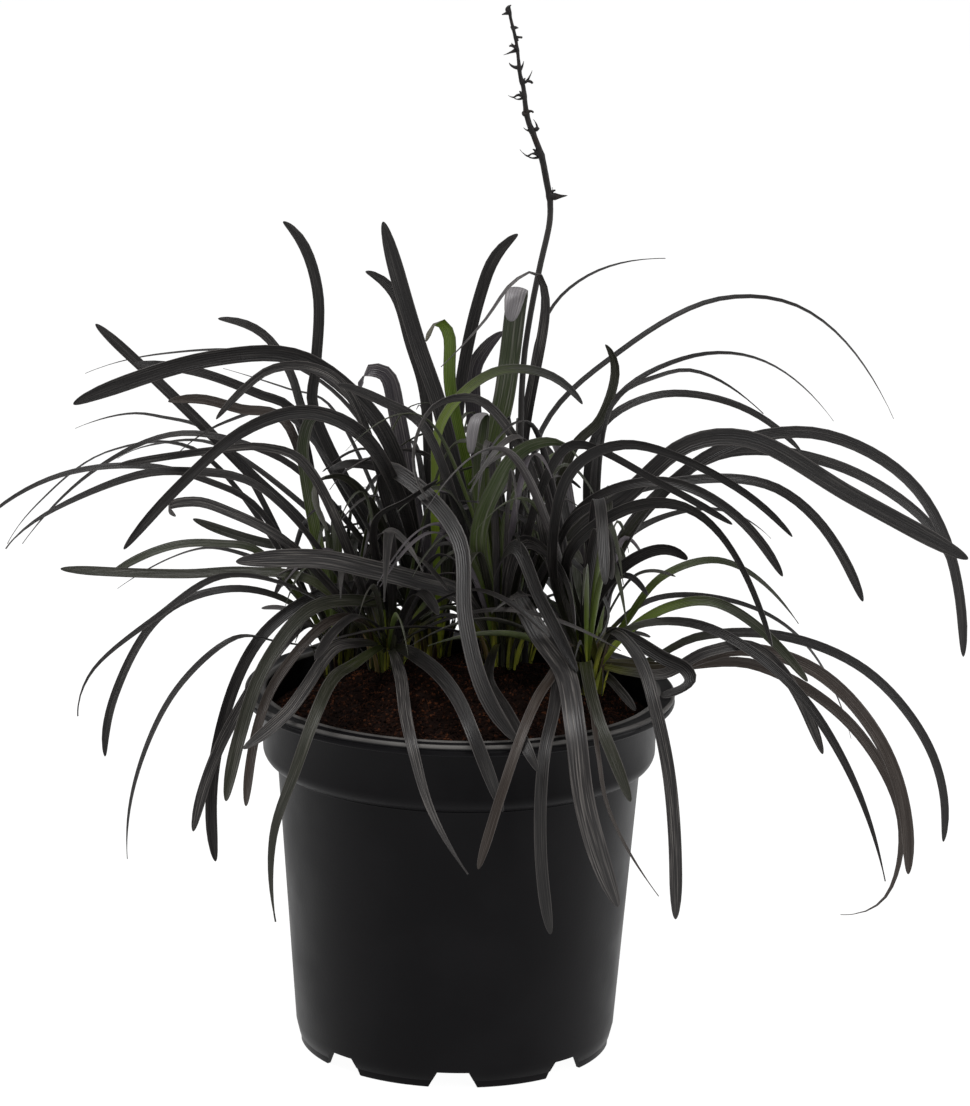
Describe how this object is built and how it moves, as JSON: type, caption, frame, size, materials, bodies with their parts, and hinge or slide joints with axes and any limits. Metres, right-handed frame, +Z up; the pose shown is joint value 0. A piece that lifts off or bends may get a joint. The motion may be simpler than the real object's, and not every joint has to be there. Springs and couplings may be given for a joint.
{
  "type": "potted ornamental grass",
  "caption": "Black mondo grass with arching near-black strap leaves and one withered flower scape, growing in a black plastic nursery pot filled with growing mix.",
  "frame": {"origin": "centre of the pot's foot, on the surface that the pot stands on", "axes": "+Z up along the pot's axis, -Y towards the front, where the mix shows most between the leaves; +X to the right seen from the front"},
  "size_m": [0.4211, 0.219, 0.4186],
  "materials": {
    "pot_plastic": "satin black, injection moulded",
    "growing_mix": "loose coir and peat, damp",
    "black_leaf": "satin, ribbed along its length",
    "withered_stem": "dry"
  },
  "bodies": {
    "root": {"pot": "pot_plastic", "growing_mix": "growing_mix", "flower_scape": "withered_stem", "tuft_front_left": "black_leaf", "tuft_front_middle": "black_leaf", "tuft_front_right": "black_leaf", "tuft_back_left": "black_leaf", "tuft_back_middle": "black_leaf", "tuft_back_centre": "black_leaf", "tuft_back_right": "black_leaf"}
  },
  "joints": []
}
